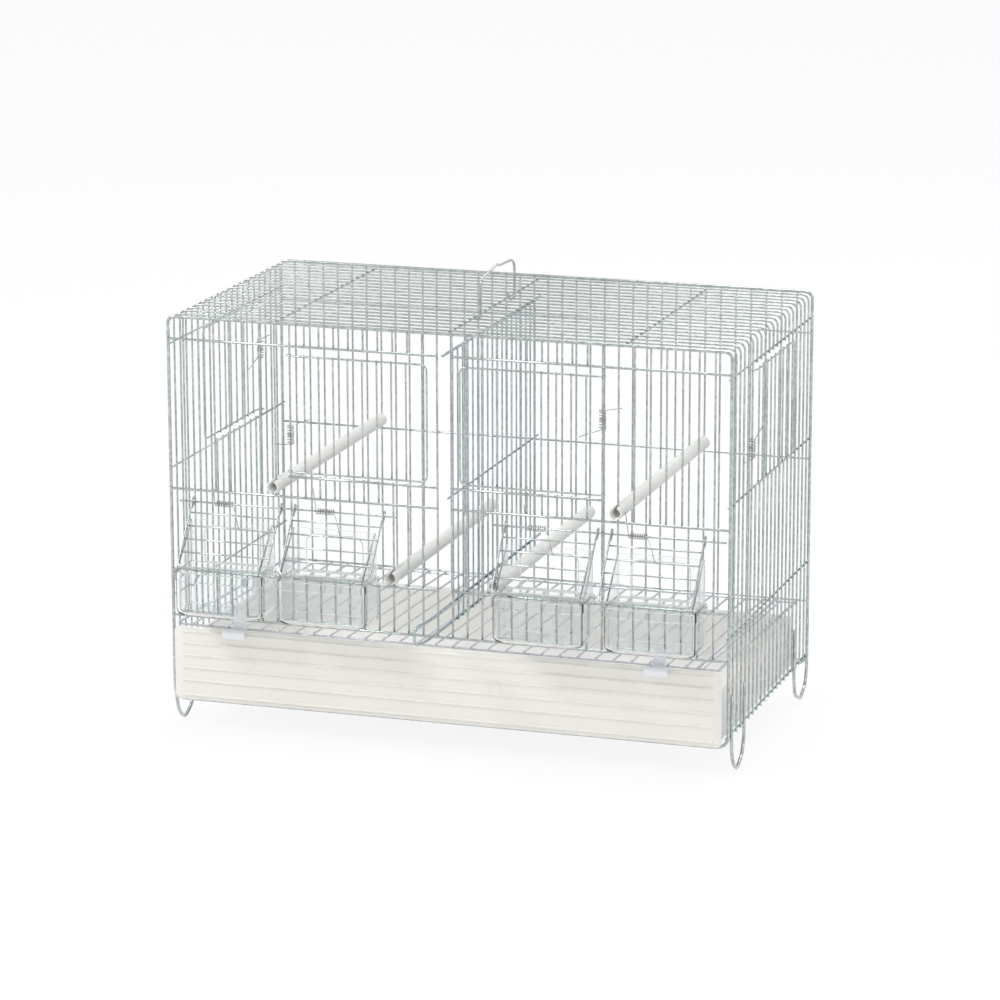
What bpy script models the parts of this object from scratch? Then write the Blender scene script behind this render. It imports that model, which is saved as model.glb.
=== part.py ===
"""Divided breeding cage for small birds: zinc-plated wire box, doors, feeders, perches, divider and tray."""

import math

import bmesh
import bpy
from mathutils import Matrix, Vector

# Sizes in millimetres. In this frame x is 0 at the cage's middle, y is 0 at the front frame
# and grows to the back, and z is 0 at the centre of the frame's bottom wire.
WIDTH = 555.0
DEPTH = 300.0
HEIGHT = 377.0
SHIFT = Vector((0.0, -105.9, 28.2))

FRAME_R = 1.6
WIRE_R = 1.0
RAIL_R = 1.2
GAP = 0.3
CORNER_R = 11.0
HALF = WIDTH / 2
PITCH = 15.0
OUTER_PITCH = 15.4
INNER_PITCH = 14.695

# Heights of the front's horizontal wires.
H_TOP = 356.0
H_SILL = 229.5
H_MIDDLE = 209.5
H_LEDGE = 129.5
H_BOTTOM = 84.0
FRONT_RAIL_Y = -1.7
SLOT_HALF = 6.4

# Side grilles.
S_TOP = 351.0
S_SILL = 230.0
S_LOWER = 104.5
S_BOTTOM = 8.7
SIDE_RAIL_X = 275.8
SIDE_SPLIT = 363.0

# Doors.
DOOR_WIRE_R = 0.9
DOOR_REACH = 138.0
DOOR_LOW = 234.5
DOOR_HIGH = 347.0
DOOR_BAR_OFF = 3.8
DOOR_UPRIGHT_OFF = 2.3
EYE_R = 2.4

# Feeders.
CUP_X = (-213.0, -109.0, 104.6, 213.0)
FLAP_X = (-209.0, -105.5, 105.5, 209.0)
ROD_Y = -2.2
ROD_Z = 197.8
ROD_R = 0.9
FLAP_LENGTH = 69.0
FLAP_LEAN = math.radians(39.4)
FLAP_HALF = 45.0
COIL_START_X = (-231.0, -128.0, 82.0, 181.0)

# Perches: centre x and z, and the tube's radii.
PERCHES = {
    "perch_upper_left": (-169.7, 219.5),
    "perch_upper_right": (169.7, 219.5),
    "perch_lower_left": (-51.4, 139.5),
    "perch_lower_right": (51.4, 139.5),
}
PERCH_R = 6.5
PERCH_BORE_R = 4.9

# The floor grille's front and back rails: y and z.
FLOOR_FRONT = (-3.5, 75.5)
FLOOR_BACK = (284.5, 66.2)

ZINC = ("zinc", (0.62, 0.69, 0.71), 0.28, 1.0)
GALVANISED = ("galvanised", (0.60, 0.66, 0.72), 0.38, 1.0)
SPRING_STEEL = ("spring_steel", (0.35, 0.37, 0.38), 0.3, 1.0)
CREAM = ("cream_plastic", (0.84, 0.82, 0.77), 0.45, 0.0)
WHITE = ("white_plastic", (0.86, 0.87, 0.88), 0.4, 0.0)
CLEAR = ("clear_plastic", (0.88, 0.92, 0.93), 0.1, 0.0)

for leftover in list(bpy.data.objects):
    bpy.data.objects.remove(leftover)


def material(spec):
    """A new material from (name, colour, roughness, metallic)."""
    label, colour, roughness, metallic = spec
    mat = bpy.data.materials.new(label)
    mat.use_nodes = True
    shader = mat.node_tree.nodes["Principled BSDF"]
    shader.inputs["Base Color"].default_value = (*colour, 1.0)
    shader.inputs["Roughness"].default_value = roughness
    shader.inputs["Metallic"].default_value = metallic
    return mat


def metres(point):
    return (Vector(point) + SHIFT) * 0.001


def add(name, mesh, spec, origin=(0.0, 0.0, 0.0), smooth=False):
    """The named object of a mesh in millimetres, its own origin at the given point."""
    centre = metres(origin)
    mesh.transform(Matrix.Translation(-Vector(origin)))
    mesh.transform(Matrix.Scale(0.001, 4))
    for polygon in mesh.polygons:
        polygon.use_smooth = smooth
    mesh.materials.clear()
    mesh.materials.append(material(spec))
    mesh.name = name
    obj = bpy.data.objects.new(name, mesh)
    obj.location = centre
    bpy.context.scene.collection.objects.link(obj)
    return obj


def mesh_from(bm):
    bmesh.ops.recalc_face_normals(bm, faces=bm.faces)
    mesh = bpy.data.meshes.new("shape")
    bm.to_mesh(mesh)
    bm.free()
    return mesh


def combine(meshes, operations, tidy=False):
    """The first mesh with each later one united, cut or intersected in turn."""
    made = []
    for mesh in meshes:
        obj = bpy.data.objects.new("operand", mesh)
        bpy.context.scene.collection.objects.link(obj)
        made.append(obj)
    for other, operation in zip(made[1:], operations):
        modifier = made[0].modifiers.new("join", "BOOLEAN")
        modifier.object = other
        modifier.operation = operation
        modifier.solver = "EXACT"
        modifier.use_self = tidy
    bpy.context.view_layer.update()
    graph = bpy.context.evaluated_depsgraph_get()
    result = bpy.data.meshes.new_from_object(made[0].evaluated_get(graph), depsgraph=graph)
    for obj in made:
        bpy.data.objects.remove(obj)
    return result


def sweep(bm, path, radius, sides=4, closed=False, flat=False):
    """Sweeps a polygon along a path, mitred at each bend. Its ridges face the axes, or its flats."""
    points = [Vector(p) for p in path]
    count = len(points)
    spans = [(points[(i + 1) % count] - points[i]).normalized() for i in range(count if closed else count - 1)]
    start = spans[0]
    side = Vector((0.0, 1.0, 0.0)) if abs(start.y) < 0.8 else Vector((0.0, 0.0, 1.0))
    side = (side - start * side.dot(start)).normalized()
    other = start.cross(side)
    turn = math.pi / sides if flat else 0.0
    angles = [turn + 2 * math.pi * i / sides for i in range(sides)]
    offsets = [(side * math.cos(a) + other * math.sin(a)) * radius for a in angles]
    rings = []
    for i, point in enumerate(points):
        into = spans[i - 1] if (closed or i) else spans[0]
        out = spans[i] if i < len(spans) else spans[-1]
        middle = (into + out).normalized()
        if closed and i == 0:
            placed = [o - out * (o.dot(middle) / out.dot(middle)) for o in offsets]
        else:
            placed = [o - into * (o.dot(middle) / into.dot(middle)) for o in offsets]
            offsets = [o - out * o.dot(out) for o in placed]
        rings.append([bm.verts.new(point + o) for o in placed])
    links = count if closed else count - 1
    for i in range(links):
        near = rings[i]
        far = rings[(i + 1) % count]
        for j in range(sides):
            k = (j + 1) % sides
            bm.faces.new((near[j], near[k], far[k], far[j]))
    if not closed:
        bm.faces.new(list(reversed(rings[0])))
        bm.faces.new(rings[-1])


def wires(paths, radius, sides=4, flat=False, closed=False):
    """One mesh of separate wires."""
    bm = bmesh.new()
    for path in paths:
        sweep(bm, path, radius, sides, closed, flat)
    return mesh_from(bm)


def box(low, high):
    bm = bmesh.new()
    bmesh.ops.create_cube(bm, size=1.0)
    size = Vector(high) - Vector(low)
    middle = (Vector(high) + Vector(low)) / 2
    for vert in bm.verts:
        vert.co = Vector((vert.co.x * size.x, vert.co.y * size.y, vert.co.z * size.z)) + middle
    return mesh_from(bm)


def prism(outline, axis, low, high):
    """A flat outline of (a, b) points drawn out along x, y or z. The outline's plane is yz, xz or xy."""
    def point(a, b, depth):
        return {"x": (depth, a, b), "y": (a, depth, b), "z": (a, b, depth)}[axis]
    bm = bmesh.new()
    near = [bm.verts.new(point(a, b, low)) for a, b in outline]
    far = [bm.verts.new(point(a, b, high)) for a, b in outline]
    bm.faces.new(near)
    bm.faces.new(list(reversed(far)))
    for i in range(len(outline)):
        j = (i + 1) % len(outline)
        bm.faces.new((near[i], far[i], far[j], near[j]))
    return mesh_from(bm)


def rounded(low_a, low_b, high_a, high_b, radii, steps=3):
    """A rectangle's outline with a radius for each corner: low-low, high-low, high-high, low-high."""
    corners = ((low_a, low_b, 180), (high_a, low_b, 270), (high_a, high_b, 0), (low_a, high_b, 90))
    outline = []
    for (a, b, begin), radius in zip(corners, radii):
        if radius == 0:
            outline.append((a, b))
            continue
        centre_a = a + radius if a == low_a else a - radius
        centre_b = b + radius if b == low_b else b - radius
        for i in range(steps + 1):
            angle = math.radians(begin + 90 * i / steps)
            outline.append((centre_a + radius * math.cos(angle), centre_b + radius * math.sin(angle)))
    return outline


def wire_x(k):
    """The x of the front's and the back's upright wire k, from 0 at the left frame to 37 at the right."""
    if k <= 8:
        return -HALF + OUTER_PITCH * k
    if k >= 29:
        return HALF - OUTER_PITCH * (37 - k)
    return -HALF + OUTER_PITCH * 8 + INNER_PITCH * (k - 8)


def frame(name, y):
    """One thick wire bent into a rectangle with rounded corners."""
    outline = rounded(-HALF, 0.0, HALF, HEIGHT, [CORNER_R] * 4)
    path = [(a, y, b) for a, b in outline]
    add(name, wires([path], FRAME_R, 6, closed=True), ZINC, smooth=True)


def front_uprights():
    """The left half's upright wires, cut round the door and the two feeder openings."""
    top = HEIGHT - FRAME_R - GAP
    paths = []
    for k in range(1, 19):
        spans = [(82.8, top)]
        at_door = 9 <= k <= 16
        at_feeder = 2 <= k <= 7 or 9 <= k <= 14
        if at_door:
            spans = [(82.8, H_SILL + 0.8), (H_TOP - 1.0, top)]
        if at_feeder:
            spans = [(82.8, H_LEDGE + 0.7), (H_MIDDLE - 0.9, spans[0][1])] + spans[1:]
        paths += [[(wire_x(k), 0.0, low), (wire_x(k), 0.0, high)] for low, high in spans]
    return paths


def mirrored(paths):
    return [[(-x, y, z) for x, y, z in path] for path in paths]


def front_panels():
    end = HALF - FRAME_R - GAP - 0.2
    rails = [[(-end, FRONT_RAIL_Y, z), (-SLOT_HALF, FRONT_RAIL_Y, z)] for z in (H_TOP, H_MIDDLE, H_LEDGE)]
    rails.append([(wire_x(8) - 1.6, FRONT_RAIL_Y, H_SILL), (-SLOT_HALF, FRONT_RAIL_Y, H_SILL)])
    uprights = front_uprights()
    for name, turn in (("front_panel_left", list), ("front_panel_right", mirrored)):
        mesh = combine([wires(turn(uprights), WIRE_R), wires(turn(rails), RAIL_R)], ["UNION"])
        add(name, mesh, ZINC)
    low_y = -(WIRE_R + GAP + WIRE_R)
    add("front_bottom_wire", wires([[(-end, low_y, H_BOTTOM), (end, low_y, H_BOTTOM)]], WIRE_R, 6), ZINC)


def back_panel():
    low = FRAME_R + GAP
    high = HEIGHT - FRAME_R - GAP
    end = HALF - FRAME_R - GAP - 0.2
    uprights = [[(wire_x(k), DEPTH, low), (wire_x(k), DEPTH, high)] for k in range(1, 37)]
    rail = [[(-end, DEPTH + 1.5, 336.0), (end, DEPTH + 1.5, 336.0)]]
    add("back_panel", combine([wires(uprights, WIRE_R), wires(rail, WIRE_R)], ["UNION"]), ZINC)
    y = DEPTH + 2 * WIRE_R + GAP
    for name, z, end in (("middle", 209.5, end), ("lower", 64.5, end), ("bottom", 3.4, end - 6.5)):
        add(f"back_{name}_wire", wires([[(-end, y, z), (end, y, z)]], WIRE_R), ZINC)


def side_grille(label, sign, cut):
    """One side's upright wires and rails; the wires in cut stop above and below the door."""
    x = sign * HALF
    uprights = []
    for k in range(1, 20):
        y = PITCH * k
        spans = [(S_BOTTOM - 1.3, SIDE_SPLIT - GAP)]
        if k in cut:
            spans = [(S_BOTTOM - 1.3, S_SILL + 1.0), (S_TOP - 1.0, SIDE_SPLIT - GAP)]
        uprights += [[(x, y, low), (x, y, high)] for low, high in spans]
    ends = (FRAME_R + 0.8, DEPTH - FRAME_R - 0.8)
    rails = [[(sign * SIDE_RAIL_X, ends[0], z), (sign * SIDE_RAIL_X, ends[1], z)] for z in (S_TOP, S_BOTTOM)]
    mesh = combine([wires(uprights, WIRE_R), wires(rails, WIRE_R)], ["UNION"])
    add(f"{label}_side_grille", mesh, ZINC)
    inner = sign * (HALF - 2 * WIRE_R - GAP)
    for part, z in (("sill", S_SILL), ("lower", S_LOWER)):
        path = [(inner, ends[0], z), (inner, ends[1], z)]
        add(f"{label}_side_{part}_wire", wires([path], WIRE_R), ZINC)


def roof():
    """The roof's wires, bent down at both edges, with one cross wire united and two that touch it."""
    side = HALF
    bend = math.radians(45)
    turn = CORNER_R * (1 - math.cos(bend))
    half_bend = [(side, SIDE_SPLIT), (side, HEIGHT - CORNER_R), (side - turn, HEIGHT - turn), (side - CORNER_R, HEIGHT)]
    paths = []
    for k in range(1, 20):
        y = PITCH * k
        path = [(-a, y, b) for a, b in half_bend] + [(a, y, b) for a, b in reversed(half_bend)]
        paths.append(path)
    cross = [[(0.0, 12.0, HEIGHT - 1.7), (0.0, 297.0, HEIGHT - 1.7)]]
    add("roof_grille", combine([wires(paths, WIRE_R), wires(cross, WIRE_R)], ["UNION"]), ZINC)
    low = HEIGHT - 2 * WIRE_R - GAP
    for name, x in (("left", -173.0), ("right", 173.0)):
        add(f"roof_cross_wire_{name}", wires([[(x, 12.0, low), (x, 297.0, low)]], WIRE_R), ZINC)


def handle():
    """A wire bail whose two feet hook under the roof's middle cross wire and curl up beside it."""
    x = 3.4
    pivot = HEIGHT - 1.7

    def foot(y):
        return [(-x, y, 379.5), (-x, y, pivot), (-2.4, y, pivot - 2.4), (0.0, y, pivot - x), (2.4, y, pivot - 2.4), (x, y, pivot)]

    arch = [(97.5, 405.0), (101.0, 410.0), (120.0, 413.4), (145.0, 416.0), (150.0, 416.0), (155.0, 414.0)]
    arch += [(160.0, 413.8), (192.0, 412.7), (199.5, 409.0), (202.5, 404.0)]
    path = foot(97.5) + [(x, y, z) for y, z in arch] + list(reversed(foot(202.5)))
    add("carry_handle", wires([path], 1.25, 6), ZINC, (0.0, 150.0, pivot), smooth=True)


def door(name, hinge, along, outward, reach, low, high, uprights):
    """A wire door: one bar bent round three sides with an eye at each end, and upright wires behind it."""
    hinge = Vector((*hinge, 0.0))
    along = Vector((*along, 0.0))
    outward = Vector((*outward, 0.0))

    def at(u, v, z):
        return hinge + along * u + outward * v + Vector((0.0, 0.0, z))

    eye = []
    for degrees in (-70, -125, 180, 130, 90):
        angle = math.radians(degrees)
        eye.append((EYE_R * math.cos(angle), EYE_R * math.sin(angle)))
    eye += [(3.4, 3.5), (5.2, DOOR_BAR_OFF)]
    path = [at(u, v, low) for u, v in eye]
    corner = 6.0
    turn = corner * (1 - math.cos(math.radians(45)))
    v = DOOR_BAR_OFF
    path += [at(reach - corner, v, low), at(reach - turn, v, low + turn), at(reach, v, low + corner)]
    path += [at(reach, v, high - corner), at(reach - turn, v, high - turn), at(reach - corner, v, high)]
    path += [at(u, v, high) for u, v in reversed(eye)]
    inner = [[at(u, DOOR_UPRIGHT_OFF, low - 1.2), at(u, DOOR_UPRIGHT_OFF, high + 1.2)] for u in uprights]
    mesh = combine([wires([path], DOOR_WIRE_R), wires(inner, DOOR_WIRE_R)], ["UNION"])
    add(name, mesh, ZINC, (hinge.x, hinge.y, (low + high) / 2))


def doors():
    inner = [15.3 + 14.5 * i for i in range(8)]
    for name, sign in (("front_door_left", -1), ("front_door_right", 1)):
        hinge = (sign * -wire_x(8), 0.0)
        door(name, hinge, (-sign, 0.0), (0.0, -1.0), DOOR_REACH, DOOR_LOW, DOOR_HIGH, inner)
    inner = [15.6 + 14.9 * i for i in range(8)]
    door("side_door_right", (HALF, 75.0), (0.0, 1.0), (1.0, 0.0), 143.0, 235.0, 345.5, inner)
    door("side_door_left", (-HALF, 240.0), (0.0, -1.0), (-1.0, 0.0), 143.0, 235.0, 345.5, inner)


def wound(name, at, begin, turns, length, radius, wire, lead, tail):
    """A spring as one unbroken tube: a straight leg, the curls and the other leg. Angles run clockwise."""
    count = 8 * turns
    last = math.pi / 2
    curls = []
    for i in range(count + 1):
        angle = last + 2 * math.pi * turns + begin
        angle -= (2 * math.pi * turns + begin) * i / count
        curls.append((radius * math.cos(angle), radius * math.sin(angle), length * i / count))
    points = [metres(at(*p)) for p in lead + curls + tail]
    spring_curve(name, points, wire)


def spring_curve(name, points, wire):
    curve = bpy.data.curves.new(name, "CURVE")
    curve.dimensions = "3D"
    curve.bevel_depth = wire * 0.001
    curve.bevel_resolution = 1
    curve.use_fill_caps = True
    spline = curve.splines.new("POLY")
    spline.points.add(len(points) - 1)
    for point, place in zip(spline.points, points):
        point.co = (*place, 1.0)
    curve.materials.append(material(SPRING_STEEL))
    bpy.context.scene.collection.objects.link(bpy.data.objects.new(name, curve))
    least = least_gap(points, wire * 0.001)
    print(f"{name}: least gap to itself {least * 1000:.2f} mm")


def least_gap(points, wire):
    """The least gap between two stretches of the tube that aren't next to each other along it."""
    samples = []
    for a, b in zip(points, points[1:]):
        steps = max(1, int((b - a).length / 0.0006))
        samples += [a.lerp(b, i / steps) for i in range(steps)]
    run = [0.0]
    for a, b in zip(samples, samples[1:]):
        run.append(run[-1] + (b - a).length)
    least = 1.0
    for i, a in enumerate(samples):
        for j in range(i + 1, len(samples)):
            if run[j] - run[i] > 0.006:
                least = min(least, (samples[j] - a).length)
    return least - 2 * wire


def door_springs():
    """A torsion spring round each door's hinge wire: one leg behind the cage's next wire, one on the door."""
    places = {
        "front_door_spring_left": ((wire_x(8), 0.0, 261.0), (1, 0), (0, -1), 1),
        "front_door_spring_right": ((-wire_x(8), 0.0, 315.0), (-1, 0), (0, -1), -1),
        "side_door_spring_right": ((HALF, 75.0, 262.0), (0, 1), (1, 0), 1),
        "side_door_spring_left": ((-HALF, 240.0, 306.0), (0, -1), (-1, 0), -1),
    }
    for name, (base, along, outward, rise) in places.items():
        def at(u, v, w, base=base, along=along, outward=outward, rise=rise):
            x = base[0] + along[0] * u + outward[0] * v
            y = base[1] + along[1] * u + outward[1] * v
            return (x, y, base[2] + rise * w)
        lead = [(-17.7, -3.0, -2.0)]
        tail = [(21.3, 4.7, 26.0)]
        wound(name, at, math.radians(19.4), 5, 18.0, 3.05, 0.45, lead, tail)


def flap_springs():
    """A torsion spring round the rod at each flap: one leg behind the wire above, one down on the flap."""
    down = (-math.sin(FLAP_LEAN), -math.cos(FLAP_LEAN))
    out = (-math.cos(FLAP_LEAN), math.sin(FLAP_LEAN))
    for i, start in enumerate(COIL_START_X):
        def at(u, v, w, start=start):
            y = ROD_Y + down[0] * u + out[0] * v
            z = ROD_Z + down[1] * u + out[1] * v
            return (start + w, y, z)
        lead = []
        for y, z, w in ((0.9, 219.0, -4.5), (0.5, 207.5, -2.8)):
            dy = y - ROD_Y
            dz = z - ROD_Z
            lead.append((dy * down[0] + dz * down[1], dy * out[0] + dz * out[1], w))
        tail = [(25.5, 1.9, 30.0)]
        wound(f"flap_spring_{i + 1}", at, math.radians(-3.0), 5, 18.0, 3.05, 0.45, lead, tail)


def flaps():
    down = (-math.sin(FLAP_LEAN), -math.cos(FLAP_LEAN))
    out = (-math.cos(FLAP_LEAN), math.sin(FLAP_LEAN))

    def at(x, s, o):
        return (x, ROD_Y + down[0] * s + out[0] * o, ROD_Z + down[1] * s + out[1] * o)

    for i, centre in enumerate(FLAP_X):
        left = centre - FLAP_HALF
        right = centre + FLAP_HALF
        eye = []
        for degrees in (-20, -75, -130, 180, 135, 90):
            angle = math.radians(degrees)
            eye.append((2.15 * math.cos(angle), 2.15 * math.sin(angle)))
        corner = 4.0
        end = FLAP_LENGTH
        path = [at(left, s, o) for s, o in eye]
        path += [at(left, end - corner, 0.1), at(left + 1.2, end - 1.2, 0.0), at(left + corner, end, 0.0)]
        path += [at(right - corner, end, 0.0), at(right - 1.2, end - 1.2, 0.0), at(right, end - corner, 0.1)]
        path += [at(right, s, o) for s, o in reversed(eye)]
        cross = []
        for share in (0.17, 0.37, 0.57, 0.77):
            s = share * FLAP_LENGTH
            o = 2.15 * (1 - share) - 1.35
            cross.append([at(left - 0.4, s, o), at(right + 0.4, s, o)])
        mesh = combine([wires([path], 0.9), wires(cross, 0.8)], ["UNION"])
        add(f"feeder_flap_{i + 1}", mesh, ZINC, (centre, ROD_Y, ROD_Z))
    add("flap_rod_left", wires([[(-268.0, ROD_Y, ROD_Z), (-47.0, ROD_Y, ROD_Z)]], ROD_R, 6), ZINC, smooth=True)
    add("flap_rod_right", wires([[(49.0, ROD_Y, ROD_Z), (275.0, ROD_Y, ROD_Z)]], ROD_R, 6), ZINC, smooth=True)


def cup_shape():
    """A feeder cup about x 0: bowl with a thick rim, hood with a feeding window, ledge that rests on the cage."""
    back = -3.6
    bowl_plan = prism(rounded(-43.8, -48.8, 43.8, back, (7, 7, 2, 2)), "z", 95.8, 131.5)
    bowl_front = prism(rounded(-43.8, 95.8, 43.8, 140.0, (6.5, 6.5, 0, 0)), "y", -60.0, 5.0)
    bowl = combine([bowl_plan, bowl_front], ["INTERSECT"])
    rim = prism(rounded(-45.0, -50.0, 45.0, back, (7, 7, 2, 2)), "z", 130.8, 139.6)
    wall = box((-42.0, back - 1.7, 130.0), (42.0, back, 181.5))
    cheek = [(back - 0.4, 131.3), (back - 0.4, 181.5), (-6.8, 181.5), (-45.4, 141.3), (-45.4, 131.3)]
    left = prism(cheek, "x", -42.0, -40.4)
    right = prism(cheek, "x", 40.4, 42.0)
    ledge = box((-32.0, back - 1.0, 131.6), (32.0, 3.2, 133.4))
    plan = rounded(-41.8, -46.8, 41.8, back - 2.0, (5.5, 5.5, 1.5, 1.5))
    hollow_plan = prism(plan, "z", 97.8, 150.0)
    hollow_front = prism(rounded(-41.8, 97.8, 41.8, 151.0, (5, 5, 0, 0)), "y", -60.0, 5.0)
    hollow = combine([hollow_plan, hollow_front], ["INTERSECT"])
    shell = combine([bowl, rim, hollow], ["UNION", "DIFFERENCE"])
    window = prism(rounded(-28.0, 137.5, 28.0, 175.5, (7, 7, 7, 7), 2), "y", -10.0, 5.0)
    return combine([shell, wall, left, right, ledge, window], ["UNION"] * 4 + ["DIFFERENCE"])


def cups():
    for i, x in enumerate(CUP_X):
        mesh = cup_shape()
        mesh.transform(Matrix.Translation((x, 0.0, 0.0)))
        add(f"feeder_cup_{i + 1}", mesh, CLEAR, (x, -26.8, 95.8))


def perches():
    for name, (x, z) in PERCHES.items():
        def ring(radius, sides):
            return [(x + radius * math.cos(2 * math.pi * (i + 0.5) / sides),
                     z + radius * math.sin(2 * math.pi * (i + 0.5) / sides)) for i in range(sides)]
        tube = prism(ring(PERCH_R, 16), "y", -10.0, 298.5)
        bore = prism(ring(PERCH_BORE_R, 12), "y", -20.0, 320.0)
        slot = box((x - 1.5, -20.0, z - 9.0), (x + 1.5, 2.6, z + 9.0))
        mesh = combine([tube, bore, slot], ["DIFFERENCE", "DIFFERENCE"])
        add(name, mesh, WHITE)


def divider():
    """A wire partition that slides out to the front through the gap between the two front halves."""
    top = [(0.0, -6.0, 357.0), (0.0, 296.0, 357.0)]
    tip = [(-62.0, 113.0), (-80.0, 115.5), (-87.0, 115.0), (-90.0, 108.0), (-88.0, 101.5), (-80.0, 98.0), (-62.0, 95.5)]
    loop = [(0.0, 296.0, 113.0)] + [(0.0, y, z) for y, z in tip] + [(0.0, 0.0, 94.0), (0.0, 296.0, 94.0)]
    middle = [(0.0, 8.0, 217.0), (0.0, 290.0, 217.0)]
    uprights = []
    for i in range(18):
        y = 18.0 + 15.0 * i
        uprights.append([(1.9, y, 92.8), (1.9, y, 358.2)])
    rails = combine([wires([loop], 1.4), wires([top, middle], 1.4)], ["UNION"])
    mesh = combine([rails, wires(uprights, 0.9)], ["UNION"])
    add("divider", mesh, ZINC)


def floor_grille():
    """The grille over the tray, lower at the back, with thicker wires at its edges and near its right end."""
    front = FLOOR_FRONT
    back = FLOOR_BACK
    rails = []
    for y, z in (front, back):
        rails.append([(-271.0, y, z), (271.0, y, z)])
    slope = (back[1] - front[1]) / (back[0] - front[0])

    def run(x, rise):
        low = front[0] - 1.5
        high = back[0] + 1.5
        return [(x, low, front[1] + rise - 1.5 * slope), (x, high, back[1] + rise + 1.5 * slope)]

    thin = [run(sign * (8.8 + 17.6 * i), 1.7) for i in range(15) for sign in (-1, 1)]
    thick = [run(x, 1.9) for x in (-270.2, 249.5, 270.2)]
    mesh = combine([wires(rails, WIRE_R), wires(thin, WIRE_R), wires(thick, 1.4)], ["UNION", "UNION"])
    add("floor_grille", mesh, GALVANISED)


def tray():
    """A tall ribbed front plate and the lower tray behind it."""
    half = 273.4
    body = prism(rounded(-271.5, -8.8, 271.5, 273.0, (0, 0, 8, 8)), "z", 2.2, 56.0)
    face = prism(rounded(-271.5, 2.2, 271.5, 80.0, (9, 9, 0, 0)), "y", -20.0, 300.0)
    plan = prism(rounded(-269.3, -7.9, 269.3, 270.8, (1, 1, 6, 6)), "z", 1.0, 90.0)
    hollow = prism(rounded(-269.3, 4.2, 269.3, 95.0, (7, 7, 0, 0)), "y", -20.0, 300.0)
    hollow = combine([hollow, plan], ["INTERSECT"])
    plate = prism(rounded(-half, 2.0, half, 75.0, (5, 5, 8, 5)), "y", -10.0, -7.8)
    ribs = [box((-264.0, -10.8, z - 0.9), (264.0, -9.0, z + 0.9)) for z in (8.0, 22.8, 35.5, 48.0, 60.0, 71.5)]
    shapes = [body, face, hollow, plate] + ribs
    mesh = combine(shapes, ["INTERSECT", "DIFFERENCE", "UNION"] + ["UNION"] * len(ribs))
    add("tray", mesh, CREAM)


def clips():
    for name, x, tongue in (("tray_clip_left", -208.5, -206.0), ("tray_clip_right", 212.0, 212.3)):
        lip = box((x - 11.3, -19.5, 69.0), (x + 11.3, -17.8, 77.0))
        fold = box((x - 11.3, -19.5, 75.3), (x + 11.3, -11.5, 77.0))
        neck = box((x - 5.0, -12.5, 75.3), (x + 5.0, -5.4, 77.0))
        upper = box((tongue - 6.3, -7.0, 75.3), (tongue + 6.3, -5.4, 92.0))
        hook = box((x - 4.5, -7.3, 67.0), (x + 4.5, -5.6, 76.0))
        mesh = combine([lip, fold, neck, upper, hook], ["UNION"] * 4)
        add(name, mesh, WHITE)


def feet():
    places = {
        "foot_front_left": (-1, 7.0, 28.0, 52.0),
        "foot_front_right": (1, 7.0, 28.0, 52.0),
        "foot_back_left": (-1, 243.0, 269.5, 294.0),
        "foot_back_right": (1, 243.0, 269.5, 294.0),
    }
    radius = 1.7 / math.cos(math.pi / 6)
    low = -26.5
    for name, (sign, near, tip, far) in places.items():
        x = sign * (HALF + 1.5)
        path = [(near, 50.0), (near, 3.0), (near + 2.0, -8.0), (near + 8.5, -19.0), (tip - 3.0, low), (tip + 3.0, low)]
        path += [(far - 8.5, -19.0), (far - 2.0, -8.0), (far, 3.0), (far, 50.0)]
        points = [(x, y, z) for y, z in path]
        add(name, wires([points], radius, 6, flat=True), ZINC)


def build():
    frame("front_frame", 0.0)
    frame("back_frame", DEPTH)
    front_panels()
    back_panel()
    side_grille("left", -1, range(8, 16))
    side_grille("right", 1, range(6, 14))
    roof()
    handle()
    doors()
    door_springs()
    flaps()
    flap_springs()
    cups()
    perches()
    divider()
    floor_grille()
    tray()
    clips()
    feet()


build()
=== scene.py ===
import math

import bmesh
import bpy
from mathutils import Matrix, Vector


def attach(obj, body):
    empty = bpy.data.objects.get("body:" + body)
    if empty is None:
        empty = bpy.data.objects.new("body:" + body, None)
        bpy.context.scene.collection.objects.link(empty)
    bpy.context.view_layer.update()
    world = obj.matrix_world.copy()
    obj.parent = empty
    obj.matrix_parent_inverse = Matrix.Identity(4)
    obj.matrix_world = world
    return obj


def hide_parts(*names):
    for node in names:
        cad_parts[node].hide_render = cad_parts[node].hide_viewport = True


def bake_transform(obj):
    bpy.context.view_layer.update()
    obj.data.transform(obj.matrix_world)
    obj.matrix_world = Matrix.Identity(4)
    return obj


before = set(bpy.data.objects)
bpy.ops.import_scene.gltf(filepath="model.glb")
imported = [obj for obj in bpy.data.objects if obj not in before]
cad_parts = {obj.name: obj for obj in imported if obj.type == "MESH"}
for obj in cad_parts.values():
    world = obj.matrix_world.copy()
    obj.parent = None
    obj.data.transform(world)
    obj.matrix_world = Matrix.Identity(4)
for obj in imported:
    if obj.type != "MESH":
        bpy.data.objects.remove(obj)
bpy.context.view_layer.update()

# Measures are millimetres: x is 0 at the cage's middle, y is 0 at the front frame and grows
# to the back, z is 0 at the centre of the frame's bottom wire. SHIFT takes them to the row's frame.
MM = 0.001
SHIFT = Vector((0.0, -105.9, 28.2))

# The front and back frame, between the middles of their wires.
WIDTH = 555.0
DEPTH = 300.0
HEIGHT = 377.0
HALF = WIDTH / 2
CORNER_R = 11.0
TOP_CORNER_R = 7.0

# Radii of the wires.
FRAME_R = 1.6
RAIL_R = 1.2
WIRE_R = 1.0
DOOR_WIRE_R = 0.9
FLAP_WIRE_R = 0.9
FLAP_CROSS_R = 0.8
HANDLE_R = 1.25
FOOT_R = 1.7
DIVIDER_R = 1.4
DIVIDER_UPRIGHT_R = 0.9
FLOOR_EDGE_R = 1.4

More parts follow.
